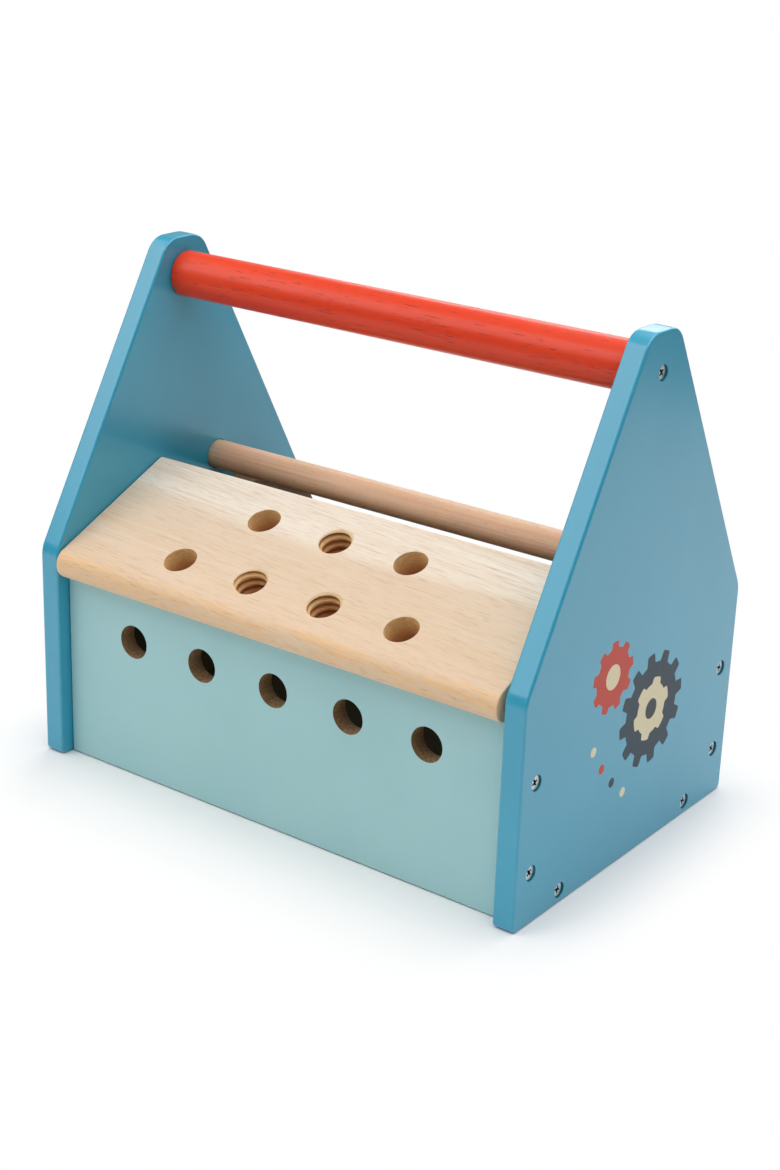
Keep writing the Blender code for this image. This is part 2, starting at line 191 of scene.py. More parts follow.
def rounded(corners, steps=corner_steps):
    """The points of a convex outline with round corners, and the way out at each of them.

    A corner is (across, up, radius). Its arc's centre lies radius / cos(half its turn) inside
    it, and the way out turns evenly along the arc from one side's to the next side's.
    """
    corners = np.array(corners, float)
    spots, radius = corners[:, :2], corners[:, 2:]
    ahead = np.roll(spots, -1, axis=0) - spots
    heading = np.arctan2(ahead[:, 1], ahead[:, 0])[:, None]
    before = np.roll(heading, 1, axis=0)
    turn = (heading - before + math.pi) % (2 * math.pi) - math.pi
    angle = before + turn * np.linspace(0, 1, steps + 1) - math.pi / 2
    middle = before + turn / 2 - math.pi / 2
    centre = spots - radius / np.cos(turn / 2) * np.hstack([np.cos(middle), np.sin(middle)])
    outward = np.stack([np.cos(angle), np.sin(angle)], axis=-1)
    points = (centre[:, None] + radius[:, None] * outward).reshape(-1, 2)
    apart = np.linalg.norm(points - np.roll(points, -1, axis=0), axis=1) > closest
    return points[apart], outward.reshape(-1, 2)[apart]


def softened(corners, ease):
    """A profile whose inner corners are curves that start and end at the ease away from them."""
    corners = np.array(corners, float)
    middle = corners[1:-1]
    back, ahead = corners[:-2] - middle, corners[2:] - middle
    ease = np.broadcast_to(ease, len(middle))[:, None]
    start = middle + back / np.linalg.norm(back, axis=1, keepdims=True) * ease
    end = middle + ahead / np.linalg.norm(ahead, axis=1, keepdims=True) * ease
    share = np.linspace(0, 1, ease_steps + 1)[None, :, None]
    curves = (1 - share) ** 2 * start[:, None] + share ** 2 * end[:, None]
    curves += 2 * share * (1 - share) * middle[:, None]
    points = np.concatenate([corners[:1], curves.reshape(-1, 2), corners[-1:]])
    apart = np.linalg.norm(np.diff(points, axis=0), axis=1) > closest
    return points[np.concatenate([[True], apart])]


def carried(outline, ease, low, high, axes):
    """A board's edge carried round its outline: spot - inset * way out, + height on the third axis."""
    spots, outward = outline
    edge = softened([(ease, low), (0, low), (0, high), (ease, high)], ease)
    inset, height = edge[:, 0, None, None], edge[:, 1, None, None]
    return (spots - inset * outward) @ axes[:2] + height * axes[2]


def side_cell(outline, way):
    """The column of an outline's straight side that faces a way."""
    faces = outline[1] @ np.array(way) > 1 - closest
    return int(np.flatnonzero(faces & np.roll(faces, -1))[0])


def side_row(points):
    """The row of a carried edge that is the board's flat side, which is its widest."""
    return int(np.argmax(np.linalg.norm(np.diff(points[:, 0], axis=0), axis=1)))


def turned(profile, centre, along, across, sides):
    """A profile of (distance, radius) spun about an axis through a centre."""
    profile = np.array(profile, float)[:, :, None, None]
    angle = 2 * math.pi * np.arange(sides) / sides
    ring = np.outer(np.cos(angle), across) + np.outer(np.sin(angle), np.cross(along, across))
    return centre + profile[:, 0] * along + profile[:, 1] * ring


def cut_share(profile):
    """How far into a bore its profile lies, which marks raw wood and painted shade: wholly, but not
    where it opens in a surface.
    """
    down = profile[:, :1]
    left = down[-1] - down if profile[-1, 1] > profile[-2, 1] else 1.0
    return np.clip(np.minimum(down, left) / bore_rim, 0, 1)


def countersunk(depth):
    """The hole of a sunk screw: a counterbore for the head, its cone, then a clear bore."""
    head = screw_head_radius + seat_gap
    shank = screw_shank_radius + seat_gap
    seat = screw_sink + screw_head_rim + seat_gap
    corners = [
        (0, head + bore_rim), (0, head), (seat, head), (seat + screw_head_cone, shank),
        (depth, shank), (depth, shank + bore_rim),
    ]
    return softened(corners, (bore_rim, bore_ease, bore_ease, bore_rim))


def socket(depth, radius):
    """The profile of a blind bore, which is then closed across its bottom."""
    corners = [(0, radius + bore_rim), (0, radius), (depth, radius), (depth, radius / 2)]
    return softened(corners, (bore_rim, bore_ease))


def place(node):
    """The middle of a node's box."""
    low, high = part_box(node)
    return np.array((low + high) / 2)


def srgb(red, green, blue):
    """A screen colour as the linear colour that a shader takes."""
    share = np.array([red, green, blue]) / 255
    linear = np.where(share <= 0.04045, share / 12.92, ((share + 0.055) / 1.055) ** 2.4)
    return (*linear.tolist(), 1.0)


class Tone:
    """A socket of a finish. Arithmetic on tones adds the Math nodes that work it out."""

    def __init__(self, finish, socket):
        self.finish = finish
        self.socket = socket

    def __add__(self, other):
        return self.finish.math("ADD", self, other)

    def __sub__(self, other):
        return self.finish.math("SUBTRACT", self, other)

    def __rsub__(self, other):
        return self.finish.math("SUBTRACT", other, self)

    def __mul__(self, other):
        return self.finish.math("MULTIPLY", self, other)

    def __pow__(self, other):
        return self.finish.math("POWER", self, other)

    __radd__ = __add__
    __rmul__ = __mul__


class Finish:
    """The finish of a material, or of the world: its shader and the nodes that feed it."""

    def __init__(self, owner, shader="Principled BSDF"):
        self.owner = owner
        self.owner.use_nodes = True
        self.tree = self.owner.node_tree
        self.shader = self.tree.nodes[shader]

    def set(self, **sockets):
        """Give the shader's sockets their values or links, named with _ for a space."""
        for name, value in sockets.items():
            self.feed(self.shader.inputs[name.replace("_", " ")], value)

    def feed(self, socket, value):
        if isinstance(value, Tone):
            self.tree.links.new(value.socket, socket)
        else:
            socket.default_value = value

    def node(self, kind, settings, inputs, out=0):
        """Add a shader node: its settings first, then the values or links of its sockets."""
        made = self.tree.nodes.new("ShaderNode" + kind)
        for name, value in settings.items():
            setattr(made, name, value)
        for name, value in inputs.items():
            self.feed(made.inputs[name], value)
        return Tone(self, made.outputs[out])

    def math(self, operation, *values):
        return self.node("Math", {"operation": operation}, dict(enumerate(values)))

    def spot(self):
        """Object coordinates, which are the frame's own."""
        return self.node("TexCoord", {}, {}, "Object")

    def spot_about(self, centre, tilt):
        """Object coordinates about a centre, in a frame tilted about X."""
        sockets = {"Vector": self.spot(), "Location": centre, "Rotation": (tilt, 0, 0)}
        return self.node("Mapping", {"vector_type": "TEXTURE"}, sockets)

    def cut(self):
        """How far into a hole the surface lies, as the mesh's attribute says; it marks raw wood and
        painted shade.
        """
        return self.node("Attribute", {"attribute_name": "cut"}, {}, "Fac")

    def parts(self, vector):
        """The three numbers of a vector."""
        split = self.node("SeparateXYZ", {}, {"Vector": vector}).socket.node
        return [Tone(self, socket) for socket in split.outputs]

    def joined(self, x, y, z):
        """A vector of three numbers."""
        return self.node("CombineXYZ", {}, {"X": x, "Y": y, "Z": z})

    def noise(self, size, detail, rough=0.5, where=None):
        """Clouds from 0 to 1 whose lumps have a size in metres along X, Y and Z."""
        sockets = {"Vector": where or self.spot(), "Scale": size}
        counted = self.node("Mapping", {"vector_type": "TEXTURE"}, sockets)
        sockets = {"Vector": counted, "Scale": 1.0, "Detail": detail, "Roughness": rough}
        return self.node("TexNoise", {}, sockets)

    def rise(self, value, low, high):
        """0 below low, 1 above high and a smooth step between."""
        sockets = {"Value": value, "From Min": low, "From Max": high}
        return self.node("MapRange", {"interpolation_type": "SMOOTHSTEP"}, sockets)

    def blend(self, share, first, second):
        """A colour mixed from two."""
        return self.node("Mix", {"data_type": "RGBA"}, {0: share, 6: first, 7: second}, 2)

    def bump(self, height, depth):
        """A normal tilted by a height from 0 to 1 that stands for a depth in metres."""
        return self.node("Bump", {}, {"Height": height, "Distance": depth, "Strength": 1.0})


def cog(finish, across, up, size, teeth):
    """A mask, 1 inside a cogwheel about 0, 0 whose size is the middle of its teeth."""
    far = (across * across + up * up) ** 0.5
    swing = teeth * finish.math("ARCTAN2", up, across)
    tooth = finish.rise(finish.math("SINE", swing), -0.45, 0.45) - 0.5
    return finish.rise(far - size * tooth_share * tooth, size + ink_edge, size - ink_edge)


def blue_satin(name, printed=False):
    """Satin blue paint over sanded wood: even colour, a breath of upright grain, fine spray texture.

    Inside the box, between the walls, the panels are coloured dark brown: unpainted board, darkened
    further as painted shade. Bore walls are a darker teal, which is painted shade. The printed one
    carries two cogwheels and a few dots in dull ink on its outer face.
    """
    finish = Finish(bpy.data.materials.new(name))
    cut = finish.rise(finish.cut(), 0.1, 0.9)
    cloud = finish.noise((0.06, 0.06, 0.09), detail=3)
    grain = finish.noise((0.003, 0.0035, 0.09), detail=3, rough=0.6)
    spray = finish.noise((0.0007, 0.0007, 0.0007), detail=1)
    colour = finish.blend(finish.rise(cloud, 0.3, 0.7), srgb(41, 156, 188), srgb(47, 161, 193))
    # Painted shade: bore walls turn a darker teal, standing in for the shade down in each hole.
    colour = finish.blend(cut, colour, srgb(16, 112, 128))
    gloss = 0.85 - 0.6 * cut
    depth, across, up = finish.parts(finish.spot())
    # Inner faces between the walls below wall height: dark brown unpainted board, darkened further as
    # painted shade for the inside of the box.
    low_down = finish.rise(up, wall_height + 0.0020, wall_height)
    between = finish.rise(finish.math("ABSOLUTE", across), wall_inside + 0.0010, wall_inside)
    into_end = finish.math("ABSOLUTE", depth)
    inner = finish.rise(into_end, inner_face_depth + 0.0006, inner_face_depth + 0.0003)
    bare_and_shade = low_down * between * inner
    colour = finish.blend(bare_and_shade, colour, finish.blend(cloud, srgb(58, 50, 30), srgb(72, 62, 38)))
    gloss = gloss * (1.0 - bare_and_shade)
    if printed:
        face = finish.rise(depth, outer_face_depth - 0.0004, outer_face_depth - 0.0002)
        worn = 0.97 - 0.2 * finish.rise(spray, 0.62, 0.80)
        for ink, (y, z), size, teeth in print_shapes:
            mark = cog(finish, across - y, up - z, size, teeth) * face
            colour = finish.blend(mark * worn, colour, srgb(*ink))
            gloss = gloss * (1.0 - 0.9 * mark)
    finish.set(
        Base_Color=colour,
        Roughness=0.42 + 0.08 * cloud,
        Specular_IOR_Level=0.25,
        Coat_Weight=gloss,
        Coat_Roughness=0.22,
        Coat_IOR=1.62,
        Normal=finish.bump(0.7 * grain + 0.3 * spray, 0.00006),
    )
    return finish


blue_ends = {"left": blue_satin("satin blue paint"), "right": blue_satin("printed blue paint", True)}
for side, end in ends:
    low, high = (np.array(corner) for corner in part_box(f"end_panel_{end}"))
    thickness = high[0] - low[0]
    gable = rounded([
        (low[1], low[2], foot_radius),
        (high[1], low[2], foot_radius),
        (high[1], shoulder_height, shoulder_radius),
        (crown_half_width, high[2], crown_radius),
        (-crown_half_width, high[2], crown_radius),
        (low[1], shoulder_height, shoulder_radius),
    ])
    shell = Shell()
    skin = shell.grid(carried(gable, panel_ease, low[0], high[0], end_on))
    outer_face, inner_face = (skin[-1], skin[0]) if side > 0 else (skin[0], skin[-1])
    outer_x, inner_x = (high[0], low[0]) if side > 0 else (low[0], high[0])
    outer_rings, inner_rings = [], []
    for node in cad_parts:
        if not node.endswith(end):
            continue
        middle = place(node)
        if node.startswith("screw_"):
            profile = countersunk(thickness)
            start = middle * (0, 1, 1) + outer_x * x_axis
            rings = shell.bore(profile, start, -side * x_axis, y_axis, bore_sides)
            outer_rings.append(rings[0])
            inner_rings.append(rings[-1])
        elif node.startswith("cleat_screw_"):
            profile = socket(cleat_screw_depth, screw_shank_radius + seat_gap)
            start = middle * (0, 1, 1) + inner_x * x_axis
            inner_rings.append(shell.blind_bore(profile, start, side * x_axis))
    for node, depth in (("rear_dowel", dowel_socket_depth), (f"lid_pin_{end}", pin_socket_depth)):
        low_corner, high_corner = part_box(node)
        radius = (high_corner[2] - low_corner[2]) / 2 + seat_gap
        start = place(node) * (0, 1, 1) + inner_x * x_axis
        inner_rings.append(shell.blind_bore(socket(depth, radius), start, side * x_axis))
    shell.fill(outer_face, *outer_rings)
    shell.fill(inner_face, *inner_rings)
    shell.make(f"gable_board_{end}", blue_ends[end], "box", "blue_paint", f"end_panel_{end}")

# Cleats
# Two blocks of beech, coloured deep brown as painted shade, cut to the bench's slope at the front
# and to the gable's slope at the rear. Each is held to its end panel by two screws and carries the
# bench's end.

cleat_corner = 0.0009
cleat_ease = 0.0006
cleat_front_height = 0.00378
cleat_rise_reach = 0.0428
cleat_rear_reach = 0.0129


def warm_beech(name, along, painted_shade=0.0):
    """Sanded beech: pinkish streaks along the grain and short dark flecks, and a deep brown painted
    shade that the last argument sets.
    """
    finish = Finish(bpy.data.materials.new(name))
    streak = finish.noise(along, detail=4, rough=0.6)
    wide = finish.noise([length * 5 for length in along], detail=2)
    fleck_size = [length * (0.06 if length == max(along) else 0.25) for length in along]
    fleck = finish.rise(finish.noise(fleck_size, detail=1), 0.66, 0.74)
    colour = finish.blend(finish.rise(wide, 0.3, 0.7), srgb(211, 175, 139), srgb(225, 194, 162))
    colour = finish.blend(0.5 * finish.rise(streak, 0.42, 0.68), colour, srgb(204, 154, 114))
    colour = finish.blend(0.55 * fleck, colour, srgb(150, 104, 72))
    # Painted shade: this blend turns the wood deep brown, standing in for the shadow a block sits in.
    colour = finish.blend(0.85 * painted_shade, colour, srgb(74, 44, 26))
    finish.set(
        Base_Color=colour,
        Roughness=0.46 + 0.1 * streak,
        Specular_IOR_Level=0.5 - 0.4 * painted_shade,
        Coat_Weight=0.4 - 0.4 * painted_shade,
        Coat_Roughness=0.40,
        Subsurface_Weight=0.8 - 0.8 * painted_shade,
        Subsurface_Scale=0.015,
        Normal=finish.bump(streak - 0.5 * fleck, 0.00012),
    )
    return finish


cleat_wood = warm_beech("beech block in painted shade", (0.0012, 0.09, 0.0012), 1.0)
for side, end in ends:
    low, high = (np.array(corner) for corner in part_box(f"cleat_{end}"))
    block = rounded([
        (low[1], low[2], cleat_corner),
        (high[1], low[2], cleat_corner),
        (high[1] - cleat_rear_reach, high[2], cleat_corner),
        (low[1] + cleat_rise_reach, high[2], cleat_corner),
        (low[1], low[2] + cleat_front_height, cleat_corner),
    ])
    shell = Shell()
    skin = shell.grid(carried(block, cleat_ease, low[0], high[0], end_on))
    inner_face, outer_face = (skin[0], skin[-1]) if side > 0 else (skin[-1], skin[0])
    inner_x = low[0] if side > 0 else high[0]
    profile = countersunk(high[0] - low[0])
    inner_rings, outer_rings = [], []
    for node in (f"cleat_screw_front_{end}", f"cleat_screw_rear_{end}"):
        start = place(node) * (0, 1, 1) + inner_x * x_axis
        rings = shell.bore(profile, start, side * x_axis, y_axis, bore_sides)
        inner_rings.append(rings[0])
        outer_rings.append(rings[-1])
    shell.fill(inner_face, *inner_rings)
    shell.fill(outer_face, *outer_rings)
    shell.make(f"rest_block_{end}", cleat_wood, "box", "warm_wood", f"cleat_{end}")

# Front wall, rear wall and floor board
# The walls are thin boards painted matt pale teal and screwed through the end panels into their
# ends. The front one has a row of peg holes drilled after painting, so their walls are raw brown
# board. The floor is bare fibreboard, coloured nearly black brown: partly its own dark brown and
# partly painted shade for the inside of the box.

plank_corner = 0.0010
wall_ease = 0.0008
floor_ease = 0.0005
peg_hole_radius = 0.0081
peg_hole_count = 5
peg_hole_pitch = 0.0422
peg_hole_drop = 0.0220
peg_hole_rim = 0.0003
peg_hole_sides = 96
plank_screw_depth = 0.0204


def teal_matt(name):
    """Matt teal paint with a fine stipple, and raw brown board where it is drilled."""
    finish = Finish(bpy.data.materials.new(name))
    cloud = finish.noise((0.05, 0.05, 0.04), detail=3)
    stipple = finish.noise((0.0006, 0.0006, 0.0006), detail=2)
    fibre = finish.noise((0.0014, 0.0014, 0.0005), detail=4, rough=0.7)
    painted = finish.blend(finish.rise(cloud, 0.3, 0.7), srgb(162, 206, 209), srgb(166, 209, 212))
    raw = finish.blend(finish.rise(fibre, 0.3, 0.7), srgb(108, 82, 50), srgb(158, 126, 86))
    raw_share = finish.rise(finish.cut(), 0.25, 0.75)
    finish.set(
        Base_Color=finish.blend(raw_share, painted, raw),
        Roughness=0.55 + 0.3 * raw_share,
        Normal=finish.bump(0.4 * stipple + 0.6 * raw_share * fibre, 0.00008),
    )
    return finish


def fibreboard(name):
    """Bare dark fibreboard: mottled, felted and quite dull, and nearly black as partly painted shade."""
    finish = Finish(bpy.data.materials.new(name))
    felt = finish.noise((0.0016, 0.0016, 0.0006), detail=4, rough=0.7)
    cloud = finish.noise((0.03, 0.03, 0.03), detail=3)
    # Nearly black brown: the board's own brown, darkened further as painted shade for the inside of the
    # box.
    colour = finish.blend(finish.rise(felt, 0.3, 0.7), srgb(28, 23, 13), srgb(42, 35, 20))
    colour = finish.blend(0.3 * cloud, colour, srgb(22, 19, 12))
    finish.set(Base_Color=colour, Roughness=0.85, Specular_IOR_Level=0.1)
    finish.set(Normal=finish.bump(felt, 0.00015))
    return finish


def peg_hole(radius, rim, deep):
    """The profile of a hole right through a board, eased where it comes out."""
    return softened([(0, radius + rim), (0, radius), (deep, radius), (deep, radius + rim)], rim)


def plank(name, node, finish, slot, ease, through, drops=()):
    """A board between the end panels: screw bores in its ends, and holes through it at the drops."""
    low, high = (np.array(corner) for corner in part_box(node))
    up = y_axis if through is z_axis else z_axis
    axes = np.array([x_axis, up, through])
    (left, bottom, near), (right, top, far) = axes @ low, axes @ high
    outline = rounded([
        (left, bottom, plank_corner),
        (right, bottom, plank_corner),
        (right, top, plank_corner),
        (left, top, plank_corner),
    ])
    shell = Shell()
    points = carried(outline, ease, near, far, axes)
    row = side_row(points)
    columns = {-1: side_cell(outline, (-1, 0)), 1: side_cell(outline, (1, 0))}
    skin = shell.grid(points, left_out=[(row, column) for column in columns.values()])
    profile = socket(plank_screw_depth, screw_shank_radius + seat_gap)
    for side, end in ends:
        rings = []
        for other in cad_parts:
            if other.startswith("screw_" + node.split("_board")[0]) and other.endswith(end):
                start = place(other) * (0, 1, 1) + (right if side > 0 else left) * x_axis
                rings.append(shell.blind_bore(profile, start, -side * x_axis))
        shell.close(skin, row, columns[side], *rings)
    hole = peg_hole(peg_hole_radius, peg_hole_rim, far - near)
    near_rings, far_rings = [], []
    for across, drop in drops:
        start = across * x_axis + (top - drop) * up + near * through
        rings = shell.bore(hole, start, through, x_axis, peg_hole_sides)
        near_rings.append(rings[0])
        far_rings.append(rings[-1])
    shell.fill(skin[0], *near_rings)
    shell.fill(skin[-1], *far_rings)
    shell.make(name, finish, "box", slot, node)


teal_wall = teal_matt("matt teal paint")
half_count = (peg_hole_count - 1) / 2
peg_row = [((number - half_count) * peg_hole_pitch, peg_hole_drop) for number in range(peg_hole_count)]
plank("front_board", "front_wall", teal_wall, "teal_paint", wall_ease, y_axis, peg_row)
plank("back_board", "rear_wall", teal_wall, "teal_paint", wall_ease, y_axis)
plank("bottom_board", "floor_board", fibreboard("brown board"), "brown_board", floor_ease, z_axis)

# Carrying bar
# A round bar turned from ash-like wood and dipped in orange-red paint, through which its long
# pores still show. One screw through each end panel holds it.

bar_ease = 0.0010
bar_sides = 128


def red_satin(name):
    """Orange-red satin paint that lets the long pores of the wood show as fine dents."""
    finish = Finish(bpy.data.materials.new(name))
    cloud = finish.noise((0.05, 0.02, 0.02), detail=3)
    pore = finish.rise(finish.noise((0.0080, 0.00045, 0.00045), detail=1), 0.65, 0.73)
    grain = finish.noise((0.06, 0.0014, 0.0014), detail=4, rough=0.6)
    colour = finish.blend(finish.rise(cloud, 0.3, 0.7), srgb(228, 62, 28), srgb(233, 68, 32))
    colour = finish.blend(0.75 * pore, colour, srgb(128, 34, 20))
    finish.set(
        Base_Color=colour,
        Specular_IOR_Level=0.35,
        Roughness=0.28 + 0.12 * grain,
        Normal=finish.bump(0.5 * grain - 0.5 * pore, 0.00010),
    )
    return finish


def bar(name, node, finish, body, slot, ease, depth, sides):
    """A round bar along X with eased ends, bored for a screw to a depth where it has one."""
    low, high = (np.array(corner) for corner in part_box(node))
    length = high[0] - low[0]
    radius = (high[2] - low[2]) / 2
    hollow = screw_shank_radius + seat_gap if depth else radius / 2
    corners = [(0, hollow), (0, radius), (length, radius), (length, hollow)]
    eases = (ease, ease)
    if depth:
        corners = [(depth, hollow)] + corners + [(length - depth, hollow)]
        eases = (bore_rim, ease, ease, bore_rim)
    shell = Shell()
    start = place(node) * (0, 1, 1) + low[0] * x_axis
    rings = shell.grid(turned(softened(corners, eases), start, x_axis, z_axis, sides))
    shell.fill(rings[0])
    shell.fill(rings[-1])
    shell.make(name, finish, body, slot, node)


red_bar = red_satin("orange-red satin paint")
bar("carrying_bar", "handle_bar", red_bar, "box", "red_paint", bar_ease, plank_screw_depth, bar_sides)

# Rear dowel
# A plain beech dowel, sanded and left bare, whose ends sit in blind holes in the end panels.

dowel_ease = 0.0008
dowel_sides = 96
dowel_wood = warm_beech("beech dowel", (0.09, 0.0012, 0.0012))
bar("cross_dowel", "rear_dowel", dowel_wood, "box", "warm_wood", dowel_ease, 0.0, dowel_sides)

# Peg bench
# A board glued up of pale rubberwood strips, planed, with a full round nose and sanded edges. It
# has four plain peg holes and three threaded ones, whose mouths are countersunk.

bench_tilt = math.radians(23.7)
slope = np.array([0, math.cos(bench_tilt), math.sin(bench_tilt)])
square_up = np.array([0, -math.sin(bench_tilt), math.cos(bench_tilt)])
bench_half = 0.00755
bench_reach = 0.0830
bench_rear_radius = 0.0025
bench_ease = 0.0007
pin_inset = 0.0076
pin_radius = 0.0025
pin_bore_depth = 0.0140
bench_hole_radius = 0.0079
bench_hole_pitch = 0.0420
bench_row_margin = 0.0228
front_row = ("plain", "threaded", "threaded", "plain")
rear_row = ("plain", "threaded", "plain")
hole_rim = 0.00035
thread_radius = 0.0071
thread_depth = 0.0011
thread_pitch = 0.0044
thread_mouth = 0.0014
thread_starts = iter((0.0016, 0.0028, 0.0027))
thread_rows = 72
thread_sides = 128
nose_steps = 16
thread_half_width = 0.40
nose_edge = pin_inset - bench_reach
strip_seam = nose_edge + 0.0535
grain_skew = 0.07


def pale_rubberwood(name, centre):
    """Pale planed rubberwood: peach in front, cream at the rear, and sawn a few degrees askew.

    Fine lines and short dark dashes follow the grain, the nose cuts through a warmer band, and
    drilled holes show rough tan wood, with painted shade: brown low down in each hole and darker
    brown deep in the thread grooves.
    """
    finish = Finish(bpy.data.materials.new(name))
    cut = finish.cut()
    along, up, through = finish.parts(finish.spot_about(centre, bench_tilt))
    askew = up + grain_skew * along
    grain = finish.joined(along, askew, through)
    wide = finish.noise((0.16, 0.012, 0.020), detail=3, where=grain)
    streak = finish.noise((0.070, 0.0022, 0.0030), detail=4, rough=0.65, where=grain)
    line = finish.noise((0.020, 0.00055, 0.0008), detail=3, rough=0.6, where=grain)
    dash = finish.rise(finish.noise((0.0100, 0.00045, 0.00060), detail=1, where=grain), 0.58, 0.74)
    from_middle = finish.math("ABSOLUTE", along + 0.01)
    depth = up - 0.035 * from_middle + 0.016 * (wide - 0.5) + 0.008 * (streak - 0.5)
    rear = finish.rise(depth, strip_seam - 0.004, strip_seam + 0.004)
    peach = finish.blend(finish.rise(wide, 0.35, 0.65), srgb(230, 210, 186), srgb(226, 202, 173))
    cream = finish.blend(finish.rise(wide, 0.35, 0.65), srgb(243, 232, 215), srgb(238, 224, 203))
    colour = finish.blend(rear, peach, cream)
    front = finish.rise(up, nose_edge + 0.034, nose_edge + 0.008)
    colour = finish.blend(0.45 * front, colour, srgb(224, 189, 153))
    nose = finish.rise(up, nose_edge + 0.0085, nose_edge + 0.0040) * finish.rise(through, -0.006, 0.001)
    nose = nose * (0.15 + 0.6 * finish.rise(streak, 0.42, 0.62))
    colour = finish.blend(nose, colour, srgb(244, 196, 138))
    colour = finish.blend(0.50 * finish.rise(streak, 0.50, 0.70), colour, srgb(224, 188, 152))
    colour = finish.blend(0.34 * finish.rise(line, 0.50, 0.70), colour, srgb(206, 170, 134))
    colour = finish.blend(0.38 * dash, colour, srgb(190, 146, 110))
    torn = finish.noise((0.0030, 0.0030, 0.0007), detail=3, rough=0.7, where=grain)
    wall = finish.rise(cut, 0.1, 0.9)
    groove = finish.rise(cut + 0.7 * (torn - 0.5), 1.30, 1.85)
    bored = finish.blend(finish.rise(torn, 0.30, 0.70), srgb(240, 196, 136), srgb(255, 226, 168))
    # Painted shade: the hole walls turn brown towards the underside, as shade deeper in the hole.
    bored = finish.blend(finish.rise(through, 0.006, -0.007), bored, srgb(206, 138, 92))
    colour = finish.blend(wall, colour, bored)
    # Painted shade: darker brown deep in the thread grooves.
    colour = finish.blend(0.85 * groove, colour, srgb(172, 108, 62))
    finish.set(
        Base_Color=colour,
        Roughness=0.52 + 0.1 * streak + 0.2 * wall,
        Normal=finish.bump(0.4 * streak + 0.3 * line - 0.4 * dash + 1.6 * wall * torn, 0.00014),
    )
    return finish


def threaded_bore(top, start):
    """The skin of a threaded hole from its mouth at the top down, and how far into the hole each point
    is, which marks raw wood and painted shade in the grooves.

    The radius is thread_radius, plus thread_depth in the middle of the groove, which climbs one
    pitch a turn; the mouth's cone is cut over it, and both rims are eased outwards.
    """
    deep = 2 * bench_half
    rim = softened([(0, hole_rim), (0, 0), (deep, 0), (deep, hole_rim)], hole_rim)
    half = len(rim) // 2
    middle = np.linspace(hole_rim, deep - hole_rim, thread_rows)[1:-1]
    down = np.concatenate([rim[:half, 0], middle, rim[half:, 0]])[:, None]
    lip = np.concatenate([rim[:half, 1], np.zeros(len(middle)), rim[half:, 1]])[:, None]
    turn = np.arange(thread_sides) / thread_sides
    off_middle = (down - start) / thread_pitch + turn - 0.25
    off_middle = np.abs(off_middle - np.round(off_middle))
    form = np.clip(1 - off_middle / thread_half_width, 0, 1)
    mouth = thread_radius + thread_mouth - down
    radius = np.maximum(thread_radius + thread_depth * form, mouth) + lip
    cut = np.where(mouth > thread_radius + thread_depth * form, 0.6, 1 + form)
    cut = cut * np.clip(np.minimum(down, deep - down) / hole_rim, 0, 1)
    ring = np.outer(np.cos(2 * math.pi * turn), x_axis) + np.outer(np.sin(2 * math.pi * turn), slope)
    return top - down[:, :, None] * square_up + radius[:, :, None] * ring, cut


low, high = (np.array(corner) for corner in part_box("bench_lid"))
pin_axis = place("lid_pin_left") * (0, 1, 1)
board_end = rounded([
    (nose_edge, -bench_half, bench_half),
    (pin_inset, -bench_half, bench_rear_radius),
    (pin_inset, bench_half, bench_rear_radius),
    (nose_edge, bench_half, bench_half),
], nose_steps)
bench_axes = np.array([slope, square_up, x_axis])
points = carried(board_end, bench_ease, low[0], high[0], bench_axes) + pin_axis
row = side_row(points)
top_column, under_column = side_cell(board_end, (0, 1)), side_cell(board_end, (0, -1))
shell = Shell()
skin = shell.grid(points, left_out=[(row, top_column), (row, under_column)])
bench_middle = (low[0] + high[0]) / 2
plain = peg_hole(bench_hole_radius, hole_rim, 2 * bench_half)
top_rings, under_rings = [], []
for kinds, from_nose in ((front_row, bench_row_margin), (rear_row, bench_reach - bench_row_margin)):
    for number, kind in enumerate(kinds):
        across = bench_middle + (number - (len(kinds) - 1) / 2) * bench_hole_pitch
        top = pin_axis + across * x_axis + (nose_edge + from_nose) * slope + bench_half * square_up
        if kind == "threaded":
            rings = shell.grid(*threaded_bore(top, next(thread_starts)))
        else:
            rings = shell.bore(plain, top, -square_up, x_axis, peg_hole_sides)
        top_rings.append(rings[0])
        under_rings.append(rings[-1])
shell.close(skin, row, top_column, *top_rings)
shell.close(skin, row, under_column, *under_rings)
pin_hole = socket(pin_bore_depth, pin_radius + seat_gap)
for face, start, way in ((skin[0], low[0], x_axis), (skin[-1], high[0], -x_axis)):
    rings = shell.bore(pin_hole, pin_axis + start * x_axis, way, y_axis, bore_sides)
    shell.fill(face, rings[0])
    shell.fill(rings[-1])
bench_wood = pale_rubberwood("pale rubberwood", pin_axis.tolist())
shell.make("peg_bench", bench_wood, "lid", "pale_wood", "bench_lid")

# Pins and screws
# The bench swings on two short steel pins. All the boards are held by countersunk cross-head wood
# screws of zinc-plated steel, each sunk a millimetre below the surface.

pin_ease = 0.0004
screw_tip = 0.0030
screw_plain_length = 0.0075
screw_core_radius = 0.00125
screw_crest_radius = 0.00190
screw_pitch = 0.0016
screw_rows_per_pitch = 6
screw_eases = (0.00012, 0.00008, 0.0003)
screw_ridge_half_width = 0.28
screw_point_share = 0.1
cross_half_length = 0.0018
cross_half_width = 0.00055
cross_depth = 0.0013
recess_shade_rows = 4
turn_seed = 7


